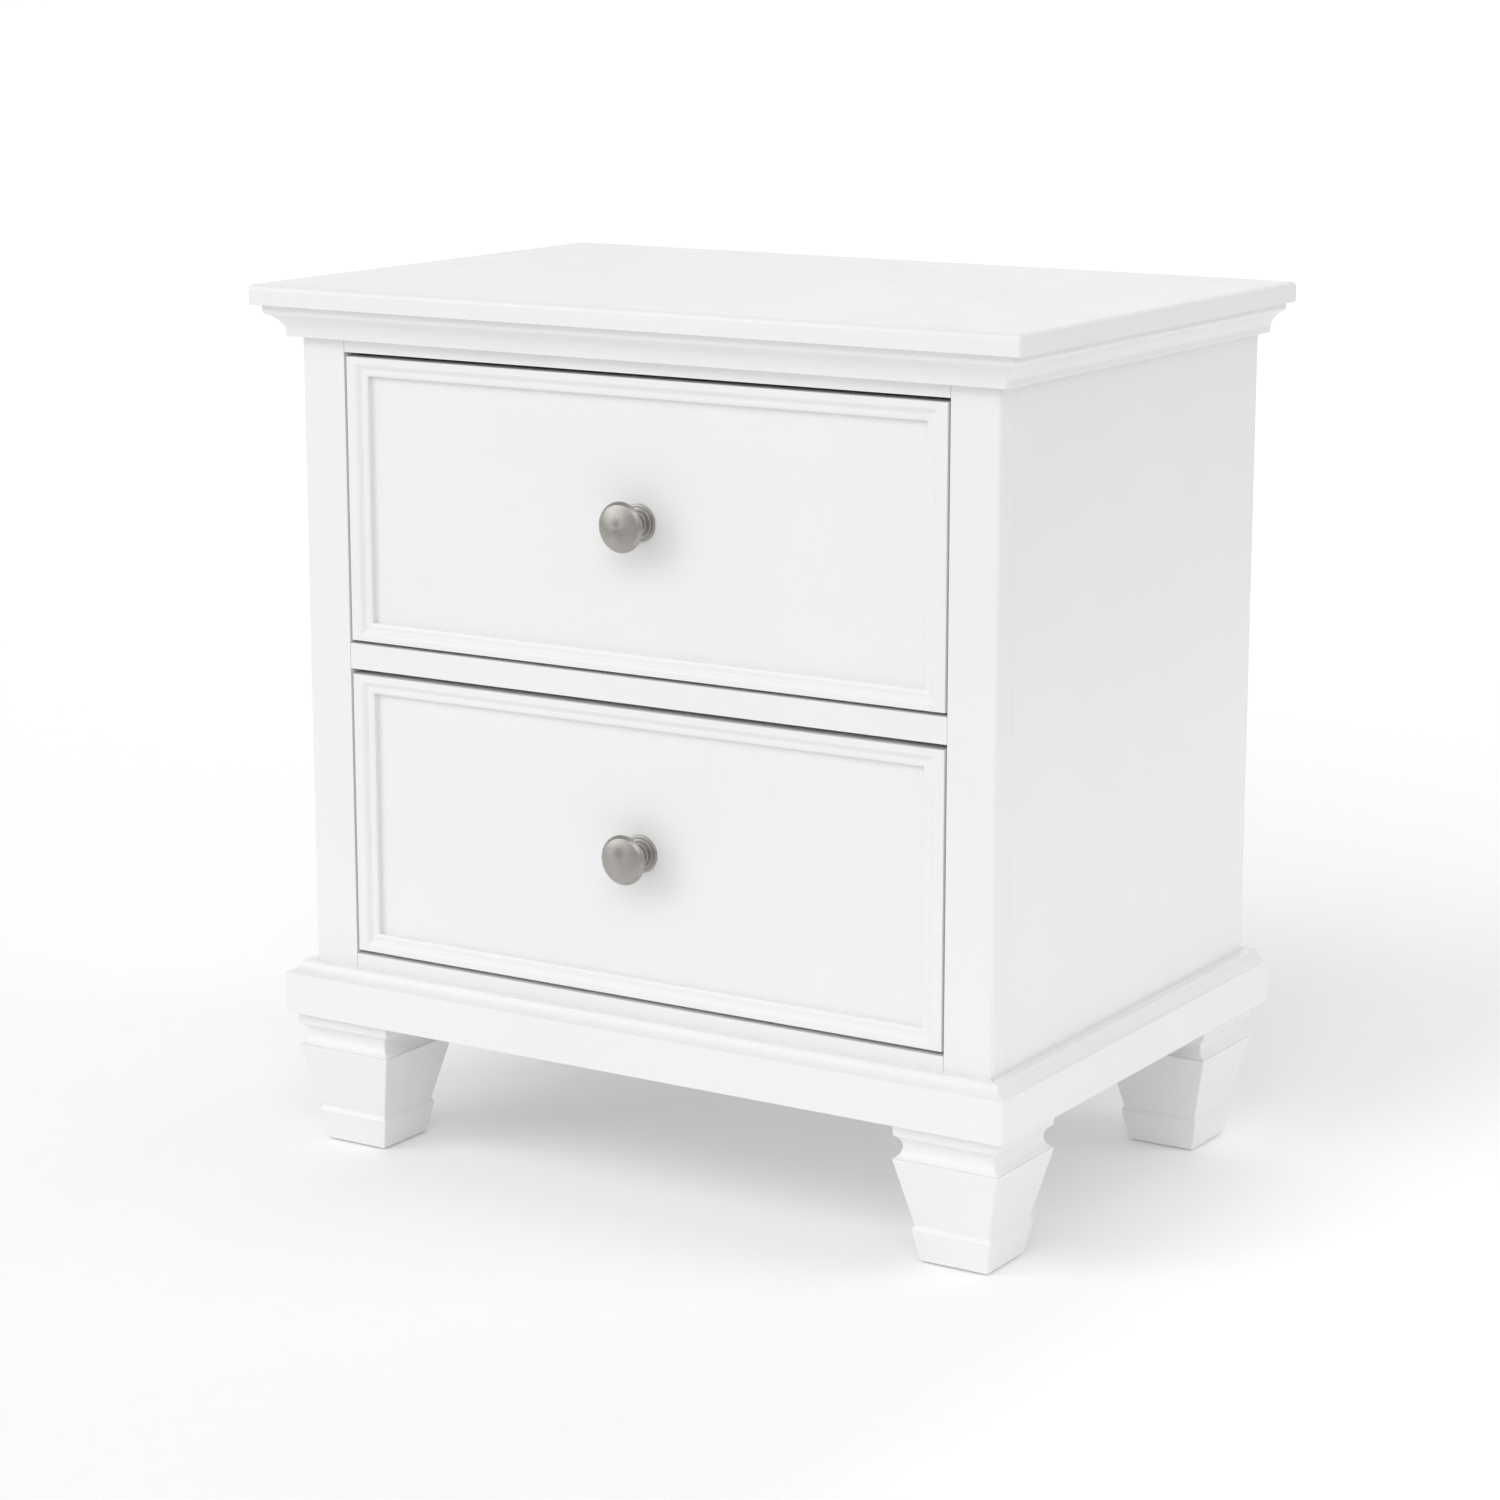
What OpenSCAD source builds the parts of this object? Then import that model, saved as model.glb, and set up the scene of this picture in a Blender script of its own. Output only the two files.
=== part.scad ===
// Two-drawer nightstand in white paint: a face-frame case with a cove crown and a wrapped base
// moulding on four square tapered feet, and two inset drawers on ball-bearing slides.
// The origin is on the floor, at the middle of the whole width and depth. The front faces -Y.

/* [Top] */
// Width of the top panel
top_w = 650; // [630:1:700]
// Depth of the top panel
top_d = 436; // [432:1:444]
// Thickness of the top panel
top_t = 15.5; // [14:0.5:22]
// Radius of the rounded top edge
top_round = 3.5; // [1:0.5:6]
// Overhang of the top past the front of the case
top_front_out = 27.5; // [23:0.5:30]

/* [Case] */
// Height of the whole nightstand
total_h = 666.5; // [660:0.5:720]
// Width across the side panels
case_w = 593; // [580:1:600]
// Depth from the face frame to the back edge of the sides
case_d = 405; // [400:1:410]
// Thickness of the side panels
side_t = 15; // [12:1:18]
// Thickness of the stiles and rails
frame_t = 20; // [18:1:22]
// Width of a stile
stile_w = 39; // [36:1:44]
// Height of the top rail that shows under the crown
top_rail_show = 9.7; // [6:0.1:16]
// Height of the rail between the drawers
middle_rail_h = 19.5; // [16:0.5:24]
// Height of the bottom rail that shows above the base
bottom_rail_show = 10.5; // [8:0.5:16]
// Height of the lower drawer's opening
lower_opening_h = 222.5; // [215:0.5:228]
// Radius of the eased outer edges of stiles and sides
case_ease = 2.5; // [0.5:0.5:3]

/* [Crown] */
// Height of the crown moulding
crown_h = 24; // [22:0.5:28]
// Reach of the crown at its top
crown_out = 21; // [19:0.5:22]
// Reach of the crown at its foot
crown_foot_out = 8.6; // [6:0.1:9]

/* [Base] */
// Height of the base moulding
base_h = 40.5; // [38:0.5:44]
// Reach of the base past the case at the front and sides
base_out = 18; // [17:0.5:20]
// Reach of the base past the case at the back
base_back_out = 9.5; // [8:0.5:12]
// Height of the base moulding's plain face
base_face_h = 32; // [30:0.5:34]

/* [Feet] */
// Height of a foot with its glide
foot_h = 105; // [100:1:115]
// Width of a foot at its top
foot_w = 85.6; // [80:0.2:88]
// Width of a foot at the floor
foot_floor_w = 55; // [50:1:60]
// Thickness of a glide under a foot
glide_t = 1.5; // [1:0.5:3]

/* [Drawers] */
// Gap at each side of a drawer front
gap_side = 2; // [1.5:0.5:3]
// Gap over the upper and the lower drawer front
gap_over = [3.1, 4]; // [1.5:0.1:5]
// Gap under the upper and the lower drawer front
gap_under = [2.5, 3]; // [1.5:0.1:4]
// Thickness of a drawer front with its moulding
front_t = 18; // [16:1:20]
// Depth of the sunk panel behind the drawer front's face
panel_sunk = 7.4; // [6:0.2:9]
// Width of the plain margin at the left and right of a drawer front
side_margin = 9.7; // [8:0.1:12]
// Width of the plain margin along the top and bottom of a drawer front
level_margin = 6.2; // [5:0.1:8]
// Width of the moulded part inside the margin
moulding_w = 7.8; // [7:0.1:9]
// Length of a drawer box
box_l = 350; // [340:5:360]
// Height of a drawer box
box_h = 160; // [150:5:165]
// Thickness of the drawer box boards
box_t = 12; // [10:1:14]
// Diameter of a knob's head
knob_d = 37; // [30:1:40]
// Height of a knob above the middle of its drawer, upper and lower
knob_raise = [2.5, 0]; // [-10:0.5:10]

/* [Hidden] */
$fn = 64;
eps = 0.01;

// Colours of the materials
paint = "#f2f2f2";
raw_board = "#d9c7a3";
hardboard = "#a98763";
zinc = "#b9bcc0";
nickel = "#a8a49e";
nylon = "#e6e4dc";

// Names for the two drawers in the lists that hold one value for each
UPPER = 0;
LOWER = 1;

// The front face of the case, on the y axis, so that the whole depth is centred on the origin
overall_d = top_front_out + case_d + base_back_out;
face_y = -overall_d / 2 + top_front_out;

// Heights of the case, from the floor
base_top = foot_h + base_h;
top_under = total_h - top_t;
crown_under = top_under - crown_h;
bottom_rail_top = base_top + bottom_rail_show;
middle_rail_under = bottom_rail_top + lower_opening_h;
middle_rail_top = middle_rail_under + middle_rail_h;
top_rail_under = crown_under - top_rail_show;

// Widths inside the case
half_case = case_w / 2;
half_opening = half_case - stile_w;
half_inner = half_case - side_t;

// Back panel in its rabbet
back_t = 3;
rabbet_w = 8;
rabbet_d = 5;
back_inset = 0.5;
back_face = case_d - rabbet_d;

// Bottom board, stretchers and foot blocks
board_t = 12;
block_h = 25;
block_w = 70;
board_under = foot_h + block_h;
stretcher_w = 60;

// Crown moulding profile: a fillet with its lower corner cut back, a cove and a plain band
crown_fillet_h = 6.9;
crown_fillet_flat = 4.8;
crown_fillet_cut = 1;
crown_band_h = 4.7;
crown_cove_r = 16.5;
crown_tail = 1.5;

// Base moulding profile: the cove that runs from the face up to the ledge
base_cove_r = 9.9;

// Foot profile, from the top down: half widths and heights above the floor
foot_fillet_half = 42;
foot_fillet_under = 95.6;
foot_cove_r = 9.3;
foot_cove_half = 36.85;
foot_cove_z = 87.3;
foot_edge_half = 42.3;
foot_edge_top = 79.5;
foot_edge_under = 77.5;
foot_ankle_half = 30.5;
foot_ankle_z = 28;
foot_ridge_half = 31.4;
foot_ridge_z = 24;
foot_x = 265.2;
foot_front_y = 31.1;
foot_rear_y = 360;
bolt_d = 8;
bolt_into_foot = 35;
bolt_clear = 0.05;
glide_d = 24;
glide_nail_d = 2.4;
glide_nail_l = 12;

// Screws with a round head
screw_d = 4;
screw_head_d = 8;
screw_head_h = 2.4;
screw_clear = 0.05;
top_screw_l = 22;
top_screw_x = [-225, 0, 225];
back_screw_l = 14;
back_screw_x = 285;
back_screw_z = [190, 330, 470, 610];

// Drawer fronts
front_low = [middle_rail_top + gap_under[UPPER], bottom_rail_top + gap_under[LOWER]];
front_high = [top_rail_under - gap_over[UPPER], middle_rail_under - gap_over[LOWER]];
front_half = half_opening - gap_side;

// Moulded part of a drawer front, from its margin inward: a slope to a valley, and a low roll
slope_w = 3.3;
valley_depth = 2.7;
roll_end_depth = 3.3;
roll_r = 5.4;
front_ease = 0.6;

// Drawer box, which stands in from the front by the thickness of the slides
slide_t = 12.7;
box_half = half_opening - slide_t;
box_above_front_edge = 9.5;
groove_d = 6;
groove_lift = 8;
box_bottom_t = 4;
groove_h = 4.2;
front_screw_l = 18;
front_screw_x = 150;
front_screw_z = [45, 125];

// Slides: channel, middle member and runner nest with room for the balls between them
slide_steel = 1.2;
slide_lift = 60;
channel_l = 350;
channel_start = 22;
channel_half_h = 22.5;
channel_flange = 9;
middle_half_h = 19;
middle_flange = 7.8;
middle_gap = 1.2;
runner_half_h = 15.5;
runner_flange = 7.2;
runner_start = 19;
runner_l = 348;
spacer_h = 70;

// Knob, measured out from the sunk panel along its own axis
knob_foot_d = 28;
knob_foot_t = 1.8;
knob_step_d = 24;
knob_step_t = 3.6;
knob_ring_d = 19;
knob_ring_t = 6;
knob_neck_d = 12.5;
knob_cup_start = 13.5;
knob_cup_d = 24;
knob_rim_under = 22.2;
knob_rim_t = 2.2;
knob_face_d = 33;
knob_face_at = 26.4;
knob_dome_h = 2.6;
knob_length = knob_face_at + knob_dome_h;
knob_bore_l = 12;

// ---- helpers ----

// Moves from the case's own place, with y = 0 on the face frame, to the part's frame
module in_case() {
    translate([0, face_y, 0]) children();
}

// A box from its low corner to its high corner
module block(low, high) {
    translate(low) cube(high - low);
}

// Extrudes an outline drawn as (reach, height) along the front, its reach towards -Y
module run_front(length) {
    rotate([90, 0, -90]) linear_extrude(length, center = true) children();
}

// Extrudes an outline drawn as (reach, height) along the right side, its reach towards +X
module run_side(from_y, to_y) {
    translate([0, to_y, 0]) rotate([90, 0, 0]) linear_extrude(to_y - from_y) children();
}

// Extrudes a plan outline upward between two heights
module rise(low, high) {
    translate([0, 0, low]) linear_extrude(high - low) children();
}

// The child and its mirror image on the other side
module both_sides() {
    children();
    mirror([1, 0, 0]) children();
}

// A round-headed screw that points along +Z, the underside of its head at the origin
module screw(length) {
    translate([0, 0, -screw_head_h]) cylinder(d = screw_head_d, h = screw_head_h);
    translate([0, 0, -eps]) cylinder(d = screw_d, h = length - screw_d / 2 + eps);
    translate([0, 0, length - screw_d / 2]) cylinder(d1 = screw_d, d2 = 1, h = screw_d / 2);
}

// The hole for that screw, from before its head to past its point
module screw_hole(length) {
    translate([0, 0, -eps]) cylinder(r = screw_d / 2 + screw_clear, h = length + 1);
}

// The same list from its end to its start
function reverse(list) = [for (i = [len(list) - 1 : -1 : 0]) list[i]];

// Points on an arc from a to b, whose centre lies to the right of the way from a to b
function arc_points(a, b, radius, steps) =
    let (
        half = norm(b - a) / 2,
        way = (b - a) / (2 * half),
        centre = (a + b) / 2 + sqrt(radius * radius - half * half) * [way[1], -way[0]],
        start = atan2(a[1] - centre[1], a[0] - centre[0]),
        turn = 2 * asin(half / radius) / steps
    )
    [for (i = [0:steps]) centre + radius * [cos(start - turn * i), sin(start - turn * i)]];

// ---- top and crown ----

// A slab outline with its two upper corners rounded
module round_top_outline(width, height, radius) {
    translate([-width / 2, 0]) square([width, height - radius]);
    translate([radius - width / 2, 0]) square([width - 2 * radius, height]);
    for (side = [-1, 1])
        translate([side * (width / 2 - radius), height - radius]) circle(r = radius);
}

module top_panel() {
    color(paint) in_case() difference() {
        translate([0, top_d / 2 - top_front_out, top_under]) intersection() {
            run_front(top_w) round_top_outline(top_d, top_t, top_round);
            run_side(-top_d / 2, top_d / 2) round_top_outline(top_w, top_t, top_round);
        }
        at_top_screws() screw_hole(top_screw_l);
    }
}

// Outline of the crown: reach past the case, height above its foot
module crown_outline() {
    band_top = [crown_foot_out, crown_band_h];
    fillet_foot = [crown_out - crown_fillet_cut, crown_h - crown_fillet_h];
    polygon(concat(
        [[0, 0], [crown_foot_out, 0]],
        arc_points(band_top, fillet_foot, crown_cove_r, 16),
        [[crown_out, crown_h - crown_fillet_flat], [crown_out, crown_h], [0, crown_h]]
    ));
}

// Plan of a moulding's front length, mitred at both ends
module front_mitre(reach) {
    polygon([
        [-half_case, 0], [-half_case - reach, -reach], [half_case + reach, -reach], [half_case, 0]
    ]);
}

// Plan of a moulding's right length, mitred at its front end
module side_mitre(reach, end_y) {
    polygon([[half_case, 0], [half_case + reach, -reach], [half_case + reach, end_y], [half_case, end_y]]);
}

module crown_front() {
    color(paint) in_case() intersection() {
        translate([0, 0, crown_under]) run_front(case_w + 3 * crown_out) crown_outline();
        rise(crown_under, top_under) front_mitre(crown_out);
    }
}

module crown_side() {
    color(paint) in_case() intersection() {
        translate([half_case, 0, crown_under]) run_side(-crown_out, case_d + crown_tail) crown_outline();
        rise(crown_under, top_under) side_mitre(crown_out, case_d + crown_tail);
    }
}

// ---- face frame, sides and inner boards ----

module stile() {
    corner = half_case - case_ease;
    color(paint) in_case() rise(foot_h, top_under) {
        translate([half_opening, case_ease]) square([stile_w, frame_t - case_ease]);
        translate([half_opening, 0]) square([stile_w - case_ease, frame_t]);
        translate([corner, case_ease]) circle(r = case_ease);
    }
}

// A rail of the face frame between two heights
module rail(low, high) {
    color(paint) in_case() block([-half_opening, 0, low], [half_opening, frame_t, high]);
}

module side_panel() {
    color(paint) in_case() difference() {
        rise(foot_h, top_under) {
            translate([half_inner, frame_t]) square([side_t, case_d - frame_t - case_ease]);
            translate([half_inner, frame_t]) square([side_t - case_ease, case_d - frame_t]);
            translate([half_case - case_ease, case_d - case_ease]) circle(r = case_ease);
        }
        block(
            [half_inner - eps, back_face, foot_h - 1],
            [half_inner + rabbet_w, case_d + 1, top_under + 1]
        );
        at_back_screws() screw_hole(back_screw_l);
    }
}

module back_panel() {
    half = half_inner + rabbet_w - back_inset;
    color(hardboard) in_case() difference() {
        block([-half, back_face, base_top - 30], [half, back_face + back_t, top_under - back_inset]);
        at_back_screws() screw_hole(back_screw_l);
        mirror([1, 0, 0]) at_back_screws() screw_hole(back_screw_l);
    }
}

module bottom_board() {
    color(paint) in_case()
        block([-half_inner, frame_t, board_under], [half_inner, back_face, board_under + board_t]);
}

module top_stretchers() {
    color(raw_board) in_case() difference() {
        for (start = [frame_t, back_face - stretcher_w])
            block([-half_inner, start, top_under - board_t], [half_inner, start + stretcher_w, top_under]);
        at_top_screws() screw_hole(top_screw_l);
    }
}

// Places of the screws that hold the top, pointing up from under the stretchers
module at_top_screws() {
    for (x = top_screw_x)
        for (y = [frame_t, back_face - stretcher_w])
            translate([x, y + stretcher_w / 2, top_under - board_t]) children();
}

module top_screws() {
    color(zinc) in_case() at_top_screws() screw(top_screw_l);
}

// Places of the screws along the right edge of the back panel, pointing to the front
module at_back_screws() {
    for (z = back_screw_z)
        translate([back_screw_x, back_face + back_t, z]) rotate([90, 0, 0]) children();
}

module back_screws() {
    color(zinc) in_case() both_sides() at_back_screws() screw(back_screw_l);
}

module slide_spacers() {
    color(raw_board) in_case() both_sides()
        for (drawer = [UPPER, LOWER]) {
            middle = slide_z(drawer);
            block(
                [half_opening, frame_t, middle - spacer_h / 2],
                [half_inner, back_face, middle + spacer_h / 2]
            );
        }
}

// ---- base moulding ----

// Outline of the base moulding: reach past the case, height above its foot
module base_outline(reach) {
    difference() {
        square([reach, base_h]);
        translate([reach, base_face_h + base_cove_r]) circle(r = base_cove_r, $fn = 96);
    }
}

module base_front() {
    color(paint) in_case() intersection() {
        translate([0, 0, foot_h]) run_front(case_w + 3 * base_out) base_outline(base_out);
        rise(foot_h, base_top) front_mitre(base_out);
    }
}

module base_side() {
    color(paint) in_case() intersection() {
        translate([half_case, 0, foot_h]) run_side(-base_out, case_d + base_back_out) base_outline(base_out);
        rise(foot_h, base_top) side_mitre(base_out, case_d + base_back_out);
    }
}

module base_back() {
    color(paint) in_case()
        block([-half_case, case_d, foot_h], [half_case, case_d + base_back_out, base_top]);
}

// ---- feet ----

// Outline of a foot, the same seen from the front and from the side
module foot_outline() {
    half = foot_w / 2;
    floor_half = foot_floor_w / 2;
    difference() {
        polygon(concat(
            foot_points(half, floor_half),
            [for (point = reverse(foot_points(half, floor_half))) [-point[0], point[1]]]
        ));
        for (side = [-1, 1])
            translate([side * (foot_cove_half + foot_cove_r), foot_cove_z]) circle(r = foot_cove_r, $fn = 96);
    }
}

// Right half of a foot's outline, from the top down
function foot_points(half, floor_half) = [
    [half, foot_h], [foot_fillet_half, foot_fillet_under], [foot_edge_half, foot_edge_top],
    [foot_edge_half, foot_edge_under], [foot_ankle_half, foot_ankle_z],
    [foot_ridge_half, foot_ridge_z], [floor_half, glide_t]
];

// One foot on its own axis, with the holes for its bolt and glide
module foot() {
    color(paint) difference() {
        intersection() {
            run_front(2 * foot_w) foot_outline();
            run_side(-foot_w, foot_w) foot_outline();
        }
        translate([0, 0, foot_h - bolt_into_foot])
            cylinder(r = bolt_d / 2 + bolt_clear, h = bolt_into_foot + 1);
        translate([0, 0, glide_t - 1])
            cylinder(r = glide_nail_d / 2 + bolt_clear, h = glide_nail_l + 1);
    }
}

// Place of a foot: side is -1 or 1, and y its distance behind the face frame
module at_foot(side, y) {
    in_case() translate([side * foot_x, y, 0]) children();
}

module at_feet() {
    for (side = [-1, 1])
        for (y = [foot_front_y, foot_rear_y])
            at_foot(side, y) children();
}

// Blocks that the feet bolt into, in the corners under the bottom board
module foot_blocks() {
    color(paint) difference() {
        in_case() both_sides()
            for (start = [frame_t, back_face - block_w])
                block([half_inner - block_w, start, foot_h], [half_inner, start + block_w, board_under]);
        at_feet() translate([0, 0, foot_h - 1]) cylinder(r = bolt_d / 2 + bolt_clear, h = block_h + 2);
    }
}

// Hanger bolts, headless, pointed at their wood end
module foot_bolts() {
    tip = bolt_d / 2;
    color(zinc) at_feet() translate([0, 0, foot_h - bolt_into_foot]) {
        cylinder(d1 = 2, d2 = bolt_d, h = tip);
        translate([0, 0, tip]) cylinder(d = bolt_d, h = bolt_into_foot + block_h - tip);
    }
}

module foot_glides() {
    color(nylon) at_feet() {
        cylinder(d1 = glide_d - 1.5, d2 = glide_d, h = glide_t);
        cylinder(d = glide_nail_d, h = glide_t + glide_nail_l - 1);
    }
}

// ---- slides ----

// Height of a drawer box's lower edge, and of the middle of its slides
function box_z(drawer) = front_low[drawer] + box_above_front_edge;
function slide_z(drawer) = box_z(drawer) + slide_lift;

// A pair of rolled steel channels: half height, outer face of the web, flange length (towards the drawer
// when positive, away from it when negative), and where the channel starts and its length along y
module channel_pair(drawer, half_h, web_x, flange, start, length) {
    web = [web_x - slide_steel, web_x];
    flange_x = flange > 0 ? [web_x - flange, web_x] : [web[0], web[0] - flange];
    color(zinc) in_case() translate([0, start, slide_z(drawer)]) both_sides() {
        block([web[0], 0, -half_h], [web[1], length, half_h]);
        block([flange_x[0], 0, half_h - slide_steel], [flange_x[1], length, half_h]);
        block([flange_x[0], 0, -half_h], [flange_x[1], length, slide_steel - half_h]);
    }
}

module slide_channels(drawer) {
    channel_pair(drawer, channel_half_h, half_opening, channel_flange, channel_start, channel_l);
}

module slide_middles(drawer) {
    web_x = half_opening - slide_steel - middle_gap;
    channel_pair(drawer, middle_half_h, web_x, middle_flange, channel_start, channel_l);
}

module slide_runners(drawer) {
    channel_pair(drawer, runner_half_h, box_half + slide_steel, -runner_flange, runner_start, runner_l);
}

// ---- drawers ----

// Height of a knob's axis
function knob_z(drawer) = (front_low[drawer] + front_high[drawer]) / 2 + knob_raise[drawer];

// Flat board of a drawer front, which the moulding is planted on
module front_panel(drawer) {
    color(paint) in_case() difference() {
        block([-front_half, panel_sunk, front_low[drawer]], [front_half, front_t, front_high[drawer]]);
        at_knob_screw(drawer) screw_hole(front_t + box_t);
        at_front_screws(drawer) screw_hole(front_screw_l);
    }
}

// Outline of a strip with its margin: distance in from its outer edge, depth behind the front face
module moulding_outline(margin) {
    valley = [margin + slope_w, valley_depth];
    roll_end = [margin + moulding_w, roll_end_depth];
    polygon(concat(
        [[0, panel_sunk], [0, front_ease], [front_ease, 0], [margin, 0]],
        reverse(arc_points(roll_end, valley, roll_r, 6)),
        [[margin + moulding_w, panel_sunk]]
    ));
}

// A strip of moulding for an edge of the given length, mitred at both ends: it lies along X at z = 0,
// its outer edge upward and its face towards -Y. next_margin is the margin of the strips it meets
module mitred_strip(length, margin, next_margin) {
    half = length / 2;
    mitre = [
        [half, 0], [half - front_ease, -front_ease], [half - next_margin, -margin],
        [half - next_margin - moulding_w, -margin - moulding_w]
    ];
    intersection() {
        rotate([90, 0, -90]) mirror([1, 0, 0]) rotate([0, 0, -90])
            linear_extrude(length, center = true) moulding_outline(margin);
        rotate([90, 0, 0]) linear_extrude(4 * panel_sunk, center = true)
            polygon(concat(mitre, [for (point = reverse(mitre)) [-point[0], point[1]]]));
    }
}

module moulding_top(drawer) {
    color(paint) in_case() translate([0, 0, front_high[drawer]])
        mitred_strip(2 * front_half, level_margin, side_margin);
}

module moulding_bottom(drawer) {
    color(paint) in_case() translate([0, 0, front_low[drawer]]) mirror([0, 0, 1])
        mitred_strip(2 * front_half, level_margin, side_margin);
}

// The strip at the right-hand edge of a drawer front
module moulding_side(drawer) {
    height = front_high[drawer] - front_low[drawer];
    color(paint) in_case() translate([front_half, 0, front_low[drawer] + height / 2])
        rotate([0, 90, 0]) mitred_strip(height, side_margin, level_margin);
}

// Side board of a drawer box on the right, grooved for the bottom
module box_side(drawer) {
    low = box_z(drawer);
    groove = low + groove_lift;
    color(raw_board) in_case() difference() {
        block([box_half - box_t, front_t, low], [box_half, front_t + box_l, low + box_h]);
        block(
            [box_half - box_t - eps, front_t + box_t - groove_d, groove],
            [box_half - box_t + groove_d, front_t + box_l - box_t + groove_d, groove + groove_h]
        );
    }
}

// Boards across a drawer box, grooved on the side that faces the inside
module box_front(drawer) {
    low = box_z(drawer);
    half = box_half - box_t;
    groove = low + groove_lift;
    color(raw_board) in_case() difference() {
        block([-half, front_t, low], [half, front_t + box_t, low + box_h]);
        block(
            [-half - 1, front_t + box_t - groove_d, groove],
            [half + 1, front_t + box_t + 1, groove + groove_h]
        );
        at_knob_screw(drawer) screw_hole(front_t + box_t);
        at_front_screws(drawer) screw_hole(front_screw_l);
    }
}

module box_back(drawer) {
    low = box_z(drawer);
    half = box_half - box_t;
    groove = low + groove_lift;
    rear = front_t + box_l;
    color(raw_board) in_case() difference() {
        block([-half, rear - box_t, low], [half, rear, low + box_h]);
        block([-half - 1, rear - box_t - 1, groove], [half + 1, rear - box_t + groove_d, groove + groove_h]);
    }
}

module box_bottom(drawer) {
    half = box_half - box_t + groove_d - 0.2;
    groove = box_z(drawer) + groove_lift;
    start = front_t + box_t - groove_d + 0.2;
    end = front_t + box_l - box_t + groove_d - 0.2;
    color(hardboard) in_case() block([-half, start, groove], [half, end, groove + box_bottom_t]);
}

// Place of the machine screw that holds a knob, pointing to the front
module at_knob_screw(drawer) {
    translate([0, front_t + box_t, knob_z(drawer)]) rotate([90, 0, 0]) children();
}

module knob_screw(drawer) {
    color(zinc) in_case() at_knob_screw(drawer) screw(front_t + box_t - panel_sunk + knob_bore_l - 1);
}

// Places of the screws that hold a drawer front to its box
module at_front_screws(drawer) {
    for (side = [-1, 1])
        for (z = front_screw_z)
            translate([side * front_screw_x, front_t + box_t, box_z(drawer) + z])
                rotate([90, 0, 0]) children();
}

module front_screws(drawer) {
    color(zinc) in_case() at_front_screws(drawer) screw(front_screw_l);
}

// Half outline of a knob: distance from its axis, distance out from the panel
module knob_outline() {
    foot_r = knob_foot_d / 2;
    step_r = knob_step_d / 2;
    ring_r = knob_ring_d / 2;
    neck_r = knob_neck_d / 2;
    head_r = knob_d / 2;
    face_r = knob_face_d / 2;
    dome_r = (face_r * face_r + knob_dome_h * knob_dome_h) / (2 * knob_dome_h);
    rim_over = knob_rim_under + knob_rim_t;
    polygon([
        [0, 0], [foot_r, 0], [foot_r, knob_foot_t], [step_r, knob_foot_t + 0.5],
        [step_r, knob_step_t], [ring_r, knob_step_t + 0.5], [ring_r, knob_ring_t],
        [neck_r + 1, knob_ring_t + 1], [neck_r, knob_ring_t + 2.5], [neck_r, knob_cup_start],
        [knob_cup_d / 2, knob_rim_under - 3], [head_r - 1, knob_rim_under],
        [head_r, knob_rim_under + 0.8], [head_r, rim_over], [face_r, knob_face_at], [0, knob_face_at]
    ]);
    intersection() {
        translate([0, knob_length - dome_r]) circle(r = dome_r, $fn = 160);
        translate([0, knob_face_at - eps]) square([face_r, knob_dome_h + 1]);
    }
}

module knob(drawer) {
    color(nickel) in_case() translate([0, panel_sunk, knob_z(drawer)]) rotate([90, 0, 0]) difference() {
        rotate_extrude($fn = 96) knob_outline();
        translate([0, 0, -1]) cylinder(r = screw_d / 2 + screw_clear, h = knob_bore_l + 1);
    }
}

// ---- nodes ----

top_panel();
crown_front();
mirror([1, 0, 0]) crown_side();  // crown_left
crown_side();  // crown_right
mirror([1, 0, 0]) stile();  // stile_left
stile();  // stile_right
rail(top_rail_under, top_under);  // top_rail
rail(middle_rail_under, middle_rail_top);  // middle_rail
rail(foot_h, bottom_rail_top);  // bottom_rail
mirror([1, 0, 0]) side_panel();  // side_panel_left
side_panel();  // side_panel_right
back_panel();
bottom_board();
top_stretchers();
slide_spacers();
base_front();
mirror([1, 0, 0]) base_side();  // base_left
base_side();  // base_right
base_back();
at_foot(-1, foot_front_y) foot();  // foot_front_left
at_foot(1, foot_front_y) foot();  // foot_front_right
at_foot(-1, foot_rear_y) foot();  // foot_rear_left
at_foot(1, foot_rear_y) foot();  // foot_rear_right
foot_blocks();
foot_bolts();
foot_glides();
top_screws();
back_screws();
slide_channels(UPPER);  // upper_slide_channels
slide_channels(LOWER);  // lower_slide_channels
slide_middles(UPPER);  // upper_slide_middles
slide_middles(LOWER);  // lower_slide_middles
slide_runners(UPPER);  // upper_slide_runners
front_panel(UPPER);  // upper_front_panel
moulding_top(UPPER);  // upper_moulding_top
moulding_bottom(UPPER);  // upper_moulding_bottom
mirror([1, 0, 0]) moulding_side(UPPER);  // upper_moulding_left
moulding_side(UPPER);  // upper_moulding_right
box_front(UPPER);  // upper_box_front
mirror([1, 0, 0]) box_side(UPPER);  // upper_side_left
box_side(UPPER);  // upper_side_right
box_back(UPPER);  // upper_box_back
box_bottom(UPPER);  // upper_box_bottom
knob(UPPER);  // upper_knob
knob_screw(UPPER);  // upper_knob_screw
front_screws(UPPER);  // upper_front_screws
slide_runners(LOWER);  // lower_slide_runners
front_panel(LOWER);  // lower_front_panel
moulding_top(LOWER);  // lower_moulding_top
moulding_bottom(LOWER);  // lower_moulding_bottom
mirror([1, 0, 0]) moulding_side(LOWER);  // lower_moulding_left
moulding_side(LOWER);  // lower_moulding_right
box_front(LOWER);  // lower_box_front
mirror([1, 0, 0]) box_side(LOWER);  // lower_side_left
box_side(LOWER);  // lower_side_right
box_back(LOWER);  // lower_box_back
box_bottom(LOWER);  // lower_box_bottom
knob(LOWER);  // lower_knob
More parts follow.
